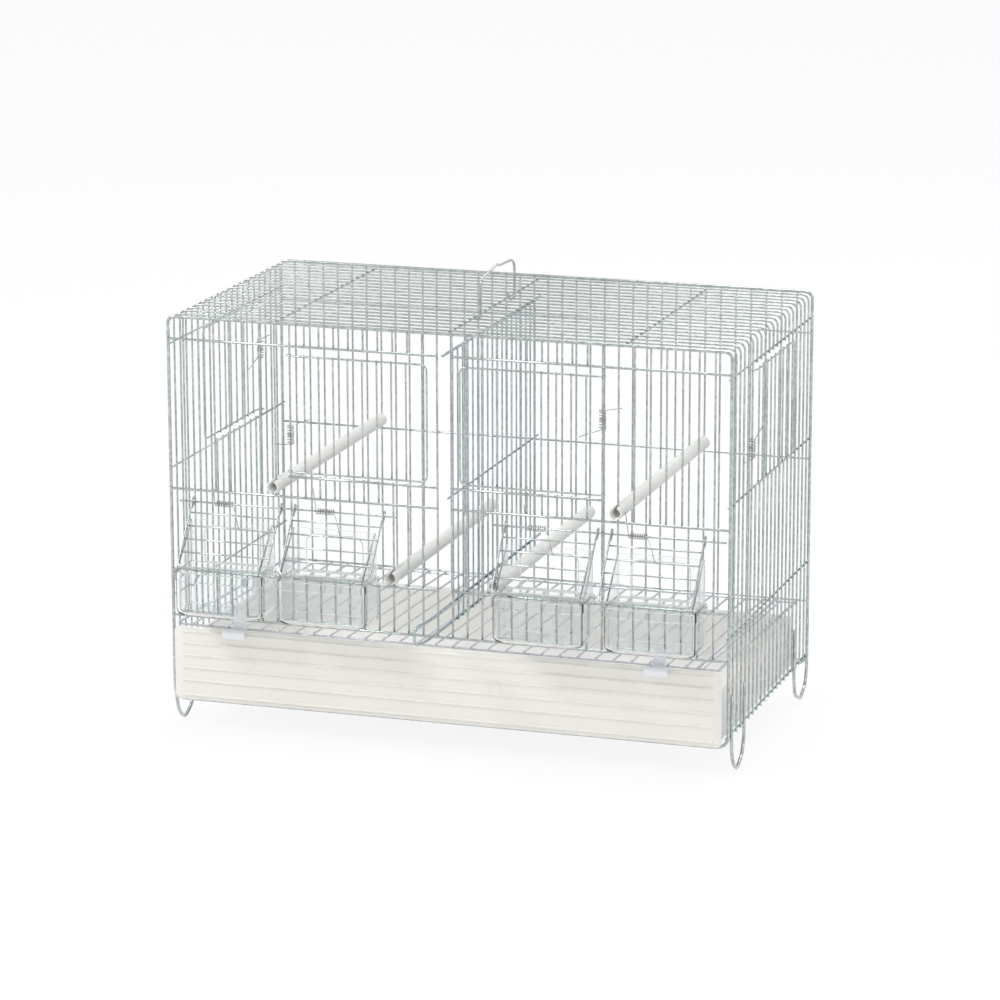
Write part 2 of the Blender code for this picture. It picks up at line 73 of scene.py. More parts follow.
# Uprights of the front and back. The eight spaces beside each corner are a little wider.
FRONT_SPACES = 37
OUTER_SPACES = 8
OUTER_PITCH = 15.4
INNER_PITCH = 14.695
FRONT_LOW = 82.6
# Counted from the corner, the uprights that a front door and the two feeder openings interrupt.
FRONT_DOOR_WIRES = range(9, 17)
FEEDER_WIRES = (*range(2, 8), *range(9, 15))

# Heights of the front's cross wires. They run outside the uprights and stop at the divider's slot.
H_TOP = 356.0
H_SILL = 229.5
H_MIDDLE = 209.5
H_LEDGE = 129.5
H_BOTTOM = 84.0
RAIL_Y = -1.95
RAIL_OVERHANG = 0.4
SILL_END_X = 156.0
SLOT_HALF = 6.35

BACK_WIRE_Z = (336.0, 209.5, 64.5, 3.4)

# The sides and the roof.
SIDE_SPACES = 20
PITCH = 15.0
S_TOP = 351.0
S_SILL = 230.0
S_LOWER = 104.5
S_BOTTOM = 8.7
SIDE_HIGH = 364.0
SIDE_DOOR_WIRES = {"left": range(8, 16), "right": range(6, 14)}
ROOF_EDGE_Z = 363.0
ROOF_CROSS_X = (-173.0, 0.0, 173.0)

# The handle's two ends, and how wide the hooks are that hold it.
HANDLE_FRONT_Y = 97.5
HANDLE_BACK_Y = 202.5
HANDLE_HOOK_R = 3.4

# A foot's near side, lowest point and far side in y.
FEET = {"front": (7.0, 28.0, 52.0), "back": (243.0, 269.5, 294.0)}
FOOT_LOW = -26.5
FOOT_HIGH = 50.0

# A door's reach from its hinge, its low wire and its high wire.
FRONT_DOOR = (138.0, 234.5, 347.0)
SIDE_DOOR = (143.0, 235.0, 345.5)
SIDE_HINGE_Y = {"left": 240.0, "right": 75.0}

# The springs' curls. HINGE_SPAN is the stretch of hinge over which they twist.
COIL_TURNS = 8
COIL_STEPS = 16
HINGE_SPAN = 18.0

# The flaps over the feeders, and the rods that they hinge on.
FLAP_X = (-209.0, -105.5, 105.5, 209.0)
FLAP_HALF = 45.0
FLAP_LENGTH = 69.0
FLAP_LEAN = math.radians(39.4)
FLAP_SPRING_X = (-231.0, -128.0, 82.0, 181.0)
ROD_Y = -2.2
ROD_Z = 197.8
ROD_ENDS = {"left": (-268.0, -47.0), "right": (49.0, 275.0)}
DOWN = (-math.sin(FLAP_LEAN), -math.cos(FLAP_LEAN))
OUT = (-math.cos(FLAP_LEAN), math.sin(FLAP_LEAN))

# The feeder cups. A cup's front lies CUP_FORWARD further out than half its width.
CUP_X = (-213.0, -109.0, 104.6, 213.0)
CUP_BACK_Y = -3.7
CUP_FORWARD = 5.0
HOOD_LOW = 139.7
HOOD_HALF = 42.0
HOOD_WALL = 1.6
CHEEK_WALL = 1.5

# Where each perch's axis lies in x and z, and its flutes.
PERCHES = {
    "perch_upper_left": (-169.7, 219.5),
    "perch_upper_right": (169.7, 219.5),
    "perch_lower_left": (-51.4, 139.5),
    "perch_lower_right": (51.4, 139.5),
}
FLUTES = 22
STEPS_PER_FLUTE = 4
PERCH_SLOT_HALF = 1.5
PERCH_SLOT_END = 1.6

# The divider's long wires.
DIVIDER_TOP = 357.0
DIVIDER_MIDDLE = 217.0
DIVIDER_LOW = 94.0
DIVIDER_BACK_Y = 296.0

# The floor grille slopes from its front wire to its back wire, each given as (y, z).
FLOOR_FRONT = (-3.5, 75.5)
FLOOR_BACK = (284.5, 66.2)
FLOOR_HALF = 271.0
FLOOR_PITCH = 17.6

# The tray's front plate and its basin.
PLATE_HALF = 273.4
PLATE_LOW = 2.0
PLATE_HIGH = 75.0
BASIN_HALF = 271.5
BASIN_FRONT_Y = -8.0
BASIN_BACK_Y = 273.0
RIB_Z = (7.5, 22.3, 35.0, 47.5, 59.5, 71.0)
RIB_HALF = 265.6
MOULD_MARK_R = 5.8

# The studio, in metres, and its area lamps: place, size and watts.
FLOOR_SIZE = 30.0
FLOOR_WHITE_SHARE = 0.88
WORLD_STRENGTH = 0.72
LAMP_TARGET = Vector((0.0, 0.0, 0.2))
LAMPS = {
    "key": ((-2.1, -1.7, 2.5), 0.9, 40.0),
    "fill": ((2.6, -2.0, 1.6), 1.2, 8.0),
    "top": ((0.2, 0.3, 3.0), 1.4, 32.0),
    "rear": ((0.4, 2.4, 2.4), 1.0, 12.0),
}

# The camera, fitted to the cage's corners in the photograph: degrees, and a focal length in pixels.
CAMERA_PLACE = Vector((1265.333, -3705.056, 1183.711))
CAMERA_YAW = 18.0992
CAMERA_PITCH = 13.8615
CAMERA_ROLL = -0.0988
FOCAL_PX = 4291.02
IMAGE_PX = 1000.0
SENSOR = 36.0


def new_material(name):
    mat = bpy.data.materials.new(name)
    mat.use_nodes = True
    tree = mat.node_tree
    return mat, tree, tree.nodes["Principled BSDF"]


def noise(tree, scale, detail, stretch=(1.0, 1.0, 1.0)):
    coords = tree.nodes.new("ShaderNodeTexCoord")
    mapping = tree.nodes.new("ShaderNodeMapping")
    mapping.inputs["Scale"].default_value = stretch
    tree.links.new(coords.outputs["Object"], mapping.inputs["Vector"])
    texture = tree.nodes.new("ShaderNodeTexNoise")
    texture.inputs["Scale"].default_value = scale
    texture.inputs["Detail"].default_value = detail
    tree.links.new(mapping.outputs["Vector"], texture.inputs["Vector"])
    return texture.outputs["Fac"]


def ramp(tree, factor, stops):
    node = tree.nodes.new("ShaderNodeValToRGB")
    elements = node.color_ramp.elements
    while len(elements) < len(stops):
        elements.new(0.5)
    for element, (place, colour) in zip(elements, stops):
        element.position = place
        element.color = (*colour, 1.0)
    tree.links.new(factor, node.inputs["Fac"])
    return node.outputs["Color"]


def span(tree, factor, low, high):
    node = tree.nodes.new("ShaderNodeMapRange")
    node.inputs["To Min"].default_value = low
    node.inputs["To Max"].default_value = high
    tree.links.new(factor, node.inputs["Value"])
    return node.outputs["Result"]


def bump(tree, shader, height, strength, distance):
    node = tree.nodes.new("ShaderNodeBump")
    node.inputs["Strength"].default_value = strength
    node.inputs["Distance"].default_value = distance
    tree.links.new(height, node.inputs["Height"])
    tree.links.new(node.outputs["Normal"], shader.inputs["Normal"])


def zinc(name, dark, light, rough):
    """Zinc-plated wire: cloudy spangle in its colour, and fine drawing marks."""
    mat, tree, shader = new_material(name)
    spangle = noise(tree, scale=240.0, detail=3.0)
    colour = ramp(tree, spangle, [(0.35, dark), (0.68, light)])
    tree.links.new(colour, shader.inputs["Base Color"])
    shader.inputs["Metallic"].default_value = 1.0
    streak = noise(tree, scale=900.0, detail=2.0, stretch=(1.0, 1.0, 0.12))
    tree.links.new(span(tree, streak, rough - 0.08, rough + 0.12), shader.inputs["Roughness"])
    bump(tree, shader, streak, strength=0.12, distance=0.0002)
    return mat


def plastic(name, dark, light, rough):
    """Opaque moulded plastic: a soft mottle in its colour, and a fine grain."""
    mat, tree, shader = new_material(name)
    mottle = noise(tree, scale=9.0, detail=5.0)
    tree.links.new(ramp(tree, mottle, [(0.3, dark), (0.7, light)]), shader.inputs["Base Color"])
    shader.inputs["Specular IOR Level"].default_value = 0.4
    grain = noise(tree, scale=700.0, detail=3.0)
    tree.links.new(span(tree, grain, rough - 0.06, rough + 0.08), shader.inputs["Roughness"])
    bump(tree, shader, grain, strength=0.1, distance=0.0003)
    return mat


def clear_plastic(name, tint, rough, highlight_milk=0.0):
    """Clear moulded plastic that bends the light a little; a share of milkiness makes it whiter, used as a
    painted highlight on the cup's edges.
    """
    mat, tree, shader = new_material(name)
    shader.inputs["IOR"].default_value = 1.3
    shader.inputs["Transmission Weight"].default_value = 1.0 - highlight_milk
    cloud = noise(tree, scale=60.0, detail=3.0)
    colour = ramp(tree, cloud, [(0.3, tint), (0.7, (0.97, 0.98, 0.985))])
    tree.links.new(colour, shader.inputs["Base Color"])
    haze = noise(tree, scale=160.0, detail=2.0)
    tree.links.new(span(tree, haze, rough, rough + 0.06), shader.inputs["Roughness"])
    bump(tree, shader, haze, strength=0.06, distance=0.0003)
    return mat


ZINC = zinc("bright_zinc", (0.40, 0.44, 0.435), (0.60, 0.65, 0.64), 0.16)
ZINC_BLUE = zinc("bluish_zinc", (0.36, 0.425, 0.45), (0.54, 0.62, 0.655), 0.18)
GALVANISED = zinc("galvanised_wire", (0.56, 0.575, 0.625), (0.72, 0.735, 0.785), 0.28)
SPRING = zinc("spring_wire", (0.30, 0.32, 0.31), (0.46, 0.485, 0.475), 0.24)
CREAM = plastic("cream_moulded_plastic", (0.80, 0.775, 0.725), (0.835, 0.815, 0.77), 0.42)
# The tray's inside is the same cream plastic painted lighter than the front plate: painted light for the
# shaded inside of the tray.
BASIN_PAINTED_LIGHT = plastic("cream_tray_inside_painted_light", (0.87, 0.86, 0.83), (0.90, 0.89, 0.865), 0.45)
WHITE = plastic("white_moulded_plastic", (0.83, 0.84, 0.87), (0.87, 0.88, 0.905), 0.34)
PERCH = plastic("perch_plastic", (0.74, 0.74, 0.71), (0.80, 0.80, 0.775), 0.5)
CLEAR = clear_plastic("clear_moulded_plastic", (0.93, 0.955, 0.96), 0.02)
# The lip and cheek edges use a milkier, bluer copy of the clear plastic: a painted highlight along the
# cup's edges.
CLEAR_RIM_PAINTED_HIGHLIGHT = clear_plastic("clear_plastic_rim_painted_highlight", (0.93, 0.955, 0.97), 0.06, highlight_milk=0.14)


class Wires:
    """Collects round tubes along paths of points in millimetres."""

    # How much of its radius a cut end is chamfered.
    CHAMFER = 0.3

    def __init__(self):
        self.verts = []
        self.faces = []

    def add(self, path, radius, sides=8, closed=False):
        points = [Vector(p) + SHIFT for p in path]
        count = len(points)
        steps = count if closed else count - 1
        spans = [(points[(i + 1) % count] - points[i]).normalized() for i in range(steps)]
        start = spans[0]
        side = Vector((0.0, 1.0, 0.0)) if abs(start.y) < 0.8 else Vector((0.0, 0.0, 1.0))
        side = (side - start * side.dot(start)).normalized()
        other = start.cross(side)
        offsets = []
        for i in range(sides):
            angle = 2 * math.pi * i / sides
            offsets.append((side * math.cos(angle) + other * math.sin(angle)) * radius)
        # Each ring is the last one slid along the wire onto the plane that halves the bend.
        rings = []
        for i, point in enumerate(points):
            into = spans[i - 1] if (closed or i) else spans[0]
            out = spans[i] if i < len(spans) else spans[-1]
            middle = (into + out).normalized()
            if closed and i == 0:
                placed = [o - out * (o.dot(middle) / out.dot(middle)) for o in offsets]
            else:
                placed = [o - into * (o.dot(middle) / into.dot(middle)) for o in offsets]
                offsets = [o - out * o.dot(out) for o in placed]
            rings.append([point + o for o in placed])
        if not closed:
            keep = 1 - self.CHAMFER
            first = [points[0] + (v - points[0]) * keep for v in rings[0]]
            last = [points[-1] + (v - points[-1]) * keep for v in rings[-1]]
            rings[0] = [v + spans[0] * radius * self.CHAMFER for v in rings[0]]
            rings[-1] = [v - spans[-1] * radius * self.CHAMFER for v in rings[-1]]
            rings = [first] + rings + [last]
        base = len(self.verts)
        total = len(rings)
        for ring in rings:
            self.verts += [v * MM for v in ring]
        for i in range(total if closed else total - 1):
            for j in range(sides):
                k = (j + 1) % sides
                a = base + i * sides
                b = base + (i + 1) % total * sides
                self.faces.append((a + j, a + k, b + k, b + j))
        if not closed:
            self.faces.append(tuple(base + sides - 1 - j for j in range(sides)))
            self.faces.append(tuple(base + (total - 1) * sides + j for j in range(sides)))

    def mesh(self, name):
        mesh = bpy.data.meshes.new(name)
        mesh.from_pydata(self.verts, [], self.faces)
        return mesh

    def piece(self, name, body, mat, slot, *nodes):
        return finish(name, self.mesh(name), body, mat, slot, *nodes)


def finish(name, mesh, body, mat, slot, *nodes, smooth=True, between=None):
    """A piece of the visual model that rides on a body, or stays where it is built when given two, and
    stands for nodes.
    """
    obj = bpy.data.objects.new(name, mesh)
    bpy.context.scene.collection.objects.link(obj)
    bm = bmesh.new()
    bm.from_mesh(mesh)
    bmesh.ops.recalc_face_normals(bm, faces=bm.faces)
    bm.to_mesh(mesh)
    bm.free()
    for polygon in mesh.polygons:
        polygon.use_smooth = smooth and len(polygon.vertices) <= 4
    mesh.materials.append(mat)
    if between:
        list(between)
        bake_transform(obj)
    else:
        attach(obj, body)
    if nodes:
        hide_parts(*nodes)
    return obj


def arc(centre_a, centre_b, radius, begin, end, steps):
    """Points of an arc as (a, b) pairs, angles in degrees."""
    points = []
    for i in range(steps + 1):
        angle = math.radians(begin + (end - begin) * i / steps)
        points.append((centre_a + radius * math.cos(angle), centre_b + radius * math.sin(angle)))
    return points


def rounded(low_a, low_b, high_a, high_b, radii, steps):
    """A rectangle's outline with a radius for each corner: low-low, high-low, high-high, low-high."""
    outline = []
    corners = ((low_a, low_b, 180), (high_a, low_b, 270), (high_a, high_b, 0), (low_a, high_b, 90))
    for (a, b, begin), radius in zip(corners, radii):
        if radius <= 0:
            outline.append((a, b))
            continue
        centre_a = a + radius if a == low_a else a - radius
        centre_b = b + radius if b == low_b else b - radius
        outline += arc(centre_a, centre_b, radius, begin, begin + 90, steps)
    return outline


def smooth_path(points, steps):
    """A Catmull-Rom curve through the points."""
    pts = [Vector(p) for p in points]
    pts = [pts[0] * 2 - pts[1]] + pts + [pts[-1] * 2 - pts[-2]]
    made = []
    for i in range(1, len(pts) - 2):
        a, b, c, d = pts[i - 1:i + 3]
        for j in range(steps):
            t = j / steps
            made.append(0.5 * (2 * b + (c - a) * t + (2 * a - 5 * b + 4 * c - d) * t * t
                               + (3 * b - a - 3 * c + d) * t ** 3))
    made.append(pts[-2])
    return made


def wire_x(k):
    """Where upright k of the front and back stands, counted from the left corner."""
    if k <= OUTER_SPACES:
        return -HALF + OUTER_PITCH * k
    if k >= FRONT_SPACES - OUTER_SPACES:
        return HALF - OUTER_PITCH * (FRONT_SPACES - k)
    return -HALF + OUTER_PITCH * OUTER_SPACES + INNER_PITCH * (k - OUTER_SPACES)


def frames():
    radii = (CORNER_R, CORNER_R, TOP_CORNER_R, TOP_CORNER_R)
    outline = rounded(-HALF, 0.0, HALF, HEIGHT, radii, 8)
    for name, y in (("front_frame", 0.0), ("back_frame", DEPTH)):
        wires = Wires()
        wires.add([(a, y, b) for a, b in outline], FRAME_R, 12, closed=True)
        wires.piece(name + "_wire", "cage", ZINC, "zinc", name)


def front():
    top = HEIGHT - FRAME_R + 0.2
    end = HALF + RAIL_OVERHANG
    for name, sign in (("left", -1), ("right", 1)):
        wires = Wires()
        for k in range(1, FRONT_SPACES // 2 + 1):
            x = -sign * wire_x(k)
            spans = [(FRONT_LOW, top)]
            if k in FRONT_DOOR_WIRES:
                spans = [(FRONT_LOW, H_SILL + 1.6), (H_TOP - 1.8, top)]
            if k in FEEDER_WIRES:
                spans = [(FRONT_LOW, H_LEDGE + 1.2), (H_MIDDLE - 1.6, spans[0][1])] + spans[1:]
            for low, high in spans:
                wires.add([(x, 0.0, low), (x, 0.0, high)], WIRE_R)
        for z in (H_TOP, H_MIDDLE, H_LEDGE):
            wires.add([(sign * end, RAIL_Y, z), (sign * SLOT_HALF, RAIL_Y, z)], RAIL_R)
        wires.add([(sign * SILL_END_X, RAIL_Y, H_SILL), (sign * SLOT_HALF, RAIL_Y, H_SILL)], RAIL_R)
        wires.piece(f"front_grille_{name}", "cage", ZINC, "zinc", f"front_panel_{name}")
    wires = Wires()
    wires.add([(-end, -2.0, H_BOTTOM), (end, -2.0, H_BOTTOM)], RAIL_R)
    wires.piece("front_low_wire", "cage", ZINC, "zinc", "front_bottom_wire")


def back():
    wires = Wires()
    for k in range(1, FRONT_SPACES):
        wires.add([(wire_x(k), DEPTH, 1.0), (wire_x(k), DEPTH, HEIGHT - 1.0)], WIRE_R)
    for z in BACK_WIRE_Z:
        # The lowest wire lies between the frame's bottom corners and is shorter.
        end = HALF + RAIL_OVERHANG if z > CORNER_R else HALF - 6.5
        wires.add([(-end, DEPTH - RAIL_Y, z), (end, DEPTH - RAIL_Y, z)], WIRE_R)
    nodes = ("back_panel", "back_middle_wire", "back_lower_wire", "back_bottom_wire")
    wires.piece("back_grille", "cage", ZINC, "zinc", *nodes)


def sides():
    low_end = S_BOTTOM - 1.3
    for label, sign in (("left", -1), ("right", 1)):
        wires = Wires()
        for k in range(1, SIDE_SPACES):
            y = PITCH * k
            spans = [(low_end, SIDE_HIGH)]
            if k in SIDE_DOOR_WIRES[label]:
                spans = [(low_end, S_SILL + 1.6), (S_TOP - 1.6, SIDE_HIGH)]
            for low, high in spans:
                wires.add([(sign * HALF, y, low), (sign * HALF, y, high)], WIRE_R)
        for z in (S_TOP, S_SILL, S_LOWER, S_BOTTOM):
            x = sign * (HALF - 1.9)
            wires.add([(x, -1.2, z), (x, DEPTH + 1.2, z)], WIRE_R)
        nodes = (f"{label}_side_grille", f"{label}_side_sill_wire", f"{label}_side_lower_wire")
        wires.piece(f"{label}_side_wires", "cage", ZINC, "zinc", *nodes)


def roof():
    wires = Wires()
    bend = arc(HALF - TOP_CORNER_R, HEIGHT - TOP_CORNER_R, TOP_CORNER_R, 0, 90, 6)
    half = [(HALF, ROOF_EDGE_Z)] + bend
    for k in range(1, SIDE_SPACES):
        y = PITCH * k
        path = [(-a, y, b) for a, b in half] + [(a, y, b) for a, b in reversed(half)]
        wires.add(path, WIRE_R)
    for x in ROOF_CROSS_X:
        wires.add([(x, 12.0, HEIGHT - 1.95), (x, 297.0, HEIGHT - 1.95)], WIRE_R)
    nodes = ("roof_grille", "roof_cross_wire_left", "roof_cross_wire_right")
    wires.piece("roof_wires", "cage", ZINC, "zinc", *nodes)


def handle():
    """A bail that rises a little to its middle, hooked round the roof's middle cross wire."""
    x = HANDLE_HOOK_R
    hook = [(-x, 379.5)] + arc(0.0, HEIGHT - 1.7, HANDLE_HOOK_R, 180, 360, 10)
    shape = [(HANDLE_FRONT_Y, 378.0), (HANDLE_FRONT_Y, 392.0), (97.8, 404.0), (101.0, 410.0)]
    shape += [(109.0, 411.6), (130.0, 414.0), (145.0, 416.0), (150.0, 416.0), (155.0, 414.2)]
    shape += [(162.0, 413.8), (180.0, 413.2), (193.0, 412.4), (200.0, 408.5)]
    shape += [(HANDLE_BACK_Y, 402.0), (HANDLE_BACK_Y, 392.0), (HANDLE_BACK_Y, 378.0)]
    path = [(a, HANDLE_FRONT_Y, b) for a, b in hook]
    path += smooth_path([(x, y, z) for y, z in shape], 4)
    path += [(a, HANDLE_BACK_Y, b) for a, b in reversed(hook)]
    wires = Wires()
    wires.add(path, HANDLE_R, 10)
    wires.piece("handle_bail", "carry_handle", ZINC, "zinc", "carry_handle")


def feet():
    for side, sign in (("left", -1), ("right", 1)):
        x = sign * (HALF + 1.5)
        for end, (near, tip, far) in FEET.items():
            shape = [(near, 24.0), (near, 3.0), (near + 2.0, -8.0), (near + 7.5, -18.6)]
            shape += [(tip - 5.0, FOOT_LOW + 1.4), (tip, FOOT_LOW), (tip + 5.0, FOOT_LOW + 1.4)]
            shape += [(far - 7.5, -18.6), (far - 2.0, -8.0), (far, 3.0), (far, 24.0)]
            path = [(x, near, FOOT_HIGH)] + smooth_path([(x, y, z) for y, z in shape], 5)
            path.append((x, far, FOOT_HIGH))
            wires = Wires()
            wires.add(path, FOOT_R, 12)
            wires.piece(f"foot_loop_{end}_{side}", "cage", ZINC, "zinc", f"foot_{end}_{side}")


def door(name, hinge, along, outward, reach, low, high, uprights):
    """A door whose outer wire curls round the hinge upright at both its ends."""
    hinge = Vector((*hinge, 0.0))
    along = Vector((*along, 0.0))
    outward = Vector((*outward, 0.0))

    def at(u, v, z):
        return hinge + along * u + outward * v + Vector((0.0, 0.0, z))

    eye = arc(0.0, 0.0, 2.35, -80, -270, 12) + [(1.8, 2.7), (3.4, 3.5), (5.2, 3.8)]
    bar = 3.8
    bend = 6.0
    path = [at(u, v, low) for u, v in eye]
    path += [at(a, bar, b) for a, b in arc(reach - bend, low + bend, bend, -90, 0, 6)]
    path += [at(a, bar, b) for a, b in arc(reach - bend, high - bend, bend, 0, 90, 6)]
    path += [at(u, v, high) for u, v in reversed(eye)]
    wires = Wires()
    wires.add(path, DOOR_WIRE_R)
    for u in uprights:
        wires.add([at(u, 2.15, low - 1.2), at(u, 2.15, high + 1.2)], DOOR_WIRE_R)
    wires.piece(name + "_wires", name, ZINC, "zinc", name)


def doors():
    inner = [15.3 + 14.5 * i for i in range(8)]
    for name, sign in (("front_door_left", -1), ("front_door_right", 1)):
        hinge_x = -sign * wire_x(OUTER_SPACES)
        door(name, (hinge_x, 0.0), (-sign, 0.0), (0.0, -1.0), *FRONT_DOOR, inner)
    inner = [15.6 + 14.9 * i for i in range(8)]
    for name, sign in (("right", 1), ("left", -1)):
        hinge = (sign * HALF, SIDE_HINGE_Y[name])
        door(f"side_door_{name}", hinge, (0.0, sign), (sign, 0.0), *SIDE_DOOR, inner)


def coil(at, begin, length, radius, lead, tail, bunch):
    """The path of a torsion spring, in the local frame that at() places: a leg, the curls, a leg."""
    count = COIL_STEPS * COIL_TURNS
    points = [at(*p) for p in lead]
    for i in range(count + 1):
        share = i / count
        angle = math.pi / 2 + (2 * math.pi * COIL_TURNS + begin) * (1 - share)
        # With bunch, the curls lie closer together near both ends, as the bent legs pull them.
        along = length * (share - bunch * math.sin(4 * math.pi * share) / (4 * math.pi))
        points.append(at(radius * math.cos(angle), radius * math.sin(angle), along))
    return points + [at(*p) for p in tail]


def spring(name, at, path, radius, body):
    """A spring that turns from the cage at one end of its curls to a moving body at the other."""
    wires = Wires()
    wires.add(path, radius, 6)
    start = (Vector(at(0, 0, 0)) + SHIFT) * MM
    end = (Vector(at(0, 0, HINGE_SPAN)) + SHIFT) * MM
    between = ("cage", body, start, end)
    finish(name + "_coil", wires.mesh(name), None, SPRING, "spring_steel", name, between=between)


def door_springs():
    front_x = wire_x(OUTER_SPACES)
    right_y = SIDE_HINGE_Y["right"]
    left_y = SIDE_HINGE_Y["left"]
    # Each spring's start, the directions along and out of its door, and whether it goes up or down.
    places = {
        "front_door_spring_left": ((front_x, 0.0, 261.0), (1, 0), (0, -1), 1, "front_door_left"),
        "front_door_spring_right": ((-front_x, 0.0, 315.0), (-1, 0), (0, -1), -1, "front_door_right"),
        "side_door_spring_right": ((HALF, right_y, 262.0), (0, 1), (1, 0), 1, "side_door_right"),
        "side_door_spring_left": ((-HALF, left_y, 306.0), (0, -1), (-1, 0), -1, "side_door_left"),
    }
    for name, (base, along, outward, rise, body) in places.items():
        def at(u, v, w):
            x = base[0] + along[0] * u + outward[0] * v
            y = base[1] + along[1] * u + outward[1] * v
            return (x, y, base[2] + rise * w)

        lead = [(-17.7, -3.0, -2.0)]
        tail = [(21.3, 4.7, 26.0)]
        path = coil(at, math.radians(19.4), HINGE_SPAN, 3.05, lead, tail, bunch=0.35)
        spring(name, at, path, 0.45, body)


def on_flap(x, s, o):
    """A point at s down a closed flap and o out from its plane."""
    return (x, ROD_Y + DOWN[0] * s + OUT[0] * o, ROD_Z + DOWN[1] * s + OUT[1] * o)


def flaps():
    bend = 5.0
    foot = FLAP_LENGTH - bend
    # Each side wire loops over the rod in a long narrow eye and ends behind itself.
    eye = [(6.4, -1.3), (4.2, -2.0), (0.0, -2.1)] + arc(-2.9, 0.0, 2.1, -90, -270, 12) + [(0.0, 2.1)]
    for i, centre in enumerate(FLAP_X):
        left = centre - FLAP_HALF
        right = centre + FLAP_HALF
        path = [on_flap(left, s, o) for s, o in eye]
        path += [on_flap(left + a, b, 0.0) for a, b in arc(bend, foot, bend, 180, 90, 6)]
        path += [on_flap(right - bend + a, b, 0.0) for a, b in arc(0.0, foot, bend, 90, 0, 6)]
        path += [on_flap(right, s, o) for s, o in reversed(eye)]
        wires = Wires()
        wires.add(path, FLAP_WIRE_R)
        for share in (0.17, 0.37, 0.57, 0.77):
            # The cross wires lie behind the side wires, which come in from the rod to the foot.
            o = 2.05 * (1 - share) - 1.5
            s = share * FLAP_LENGTH
            wires.add([on_flap(left - 0.5, s, o), on_flap(right + 0.5, s, o)], FLAP_CROSS_R)
        name = f"feeder_flap_{i + 1}"
        wires.piece(f"flap_wires_{i + 1}", name, ZINC, "zinc", name)
    for name, (low, high) in ROD_ENDS.items():
        wires = Wires()
        wires.add([(low, ROD_Y, ROD_Z), (high, ROD_Y, ROD_Z)], FLAP_WIRE_R)
        wires.piece(f"flap_hinge_rod_{name}", "cage", ZINC, "zinc", f"flap_rod_{name}")


def flap_springs():
    for i, start_x in enumerate(FLAP_SPRING_X):
        def at(u, v, w):
            return on_flap(start_x + w, u, v)

        # The first leg runs up the grille: its points are given by y and z, and turned to the flap's.
        lead = []
        for y, z, w in ((0.9, 219.0, -4.5), (0.5, 207.5, -2.8)):
            dy = y - ROD_Y
            dz = z - ROD_Z
            lead.append((dy * DOWN[0] + dz * DOWN[1], dy * OUT[0] + dz * OUT[1], w))
        tail = [(12.0, 2.6, 24.0), (25.5, 1.9, 30.0), (27.0, 1.2, 31.6)]
        path = coil(at, math.radians(-3.0), 17.5, 2.6, lead, tail, bunch=0.0)
        spring(f"flap_spring_{i + 1}", at, path, 0.4, f"feeder_flap_{i + 1}")


def loft(rings):
    """A closed mesh over rings of equal count, each a list of points in millimetres."""
    verts = []
    faces = []
    sides = len(rings[0])
    for ring in rings:
        verts += [(Vector(p) + SHIFT) * MM for p in ring]
    for i in range(len(rings) - 1):
        for j in range(sides):
            k = (j + 1) % sides
            faces.append((i * sides + j, i * sides + k, (i + 1) * sides + k, (i + 1) * sides + j))
    faces.append(tuple(range(sides - 1, -1, -1)))
    faces.append(tuple((len(rings) - 1) * sides + j for j in range(sides)))
    mesh = bpy.data.meshes.new("loft")
    mesh.from_pydata(verts, [], faces)
    return mesh


def solid(outline, axis, low, high, holes=()):
    """A plate: an outline of (a, b) points with holes, drawn out along x, y or z between low and high."""
    curve = bpy.data.curves.new("plate", "CURVE")
    curve.dimensions = "2D"
    curve.fill_mode = "BOTH"
    curve.extrude = (high - low) / 2
    for line in (outline, *holes):
        spline = curve.splines.new("POLY")
        spline.points.add(len(line) - 1)
        spline.use_cyclic_u = True
        for point, (a, b) in zip(spline.points, line):
            point.co = (a, b, 0.0, 1.0)
    obj = bpy.data.objects.new("plate", curve)
    bpy.context.scene.collection.objects.link(obj)
    bpy.context.view_layer.update()
    graph = bpy.context.evaluated_depsgraph_get()
    mesh = bpy.data.meshes.new_from_object(obj.evaluated_get(graph))
    bpy.data.objects.remove(obj)
    middle = (low + high) / 2
    turn = {
        "z": Matrix(((1, 0, 0, 0), (0, 1, 0, 0), (0, 0, 1, middle), (0, 0, 0, 1))),
        "y": Matrix(((1, 0, 0, 0), (0, 0, 1, middle), (0, 1, 0, 0), (0, 0, 0, 1))),
        "x": Matrix(((0, 0, 1, middle), (1, 0, 0, 0), (0, 1, 0, 0), (0, 0, 0, 1))),
    }[axis]
    mesh.transform(Matrix.Scale(MM, 4) @ Matrix.Translation(SHIFT) @ turn)
    mesh.materials.clear()
    bm = bmesh.new()
    bm.from_mesh(mesh)
    bmesh.ops.remove_doubles(bm, verts=bm.verts, dist=1e-6)
    bmesh.ops.recalc_face_normals(bm, faces=bm.faces)
    bm.to_mesh(mesh)
    bm.free()
    return mesh


def round_edges(obj, width):
    modifier = obj.modifiers.new("edges", "BEVEL")
    modifier.width = width * MM
    modifier.segments = 2
    modifier.limit_method = "ANGLE"
    modifier.angle_limit = math.radians(35)
    modifier.harden_normals = True


def flat_normals(obj):
    """Normals that keep big flat faces flat beside their rounded corners."""
    modifier = obj.modifiers.new("flat", "WEIGHTED_NORMAL")
    modifier.weight = 100
    modifier.keep_sharp = True


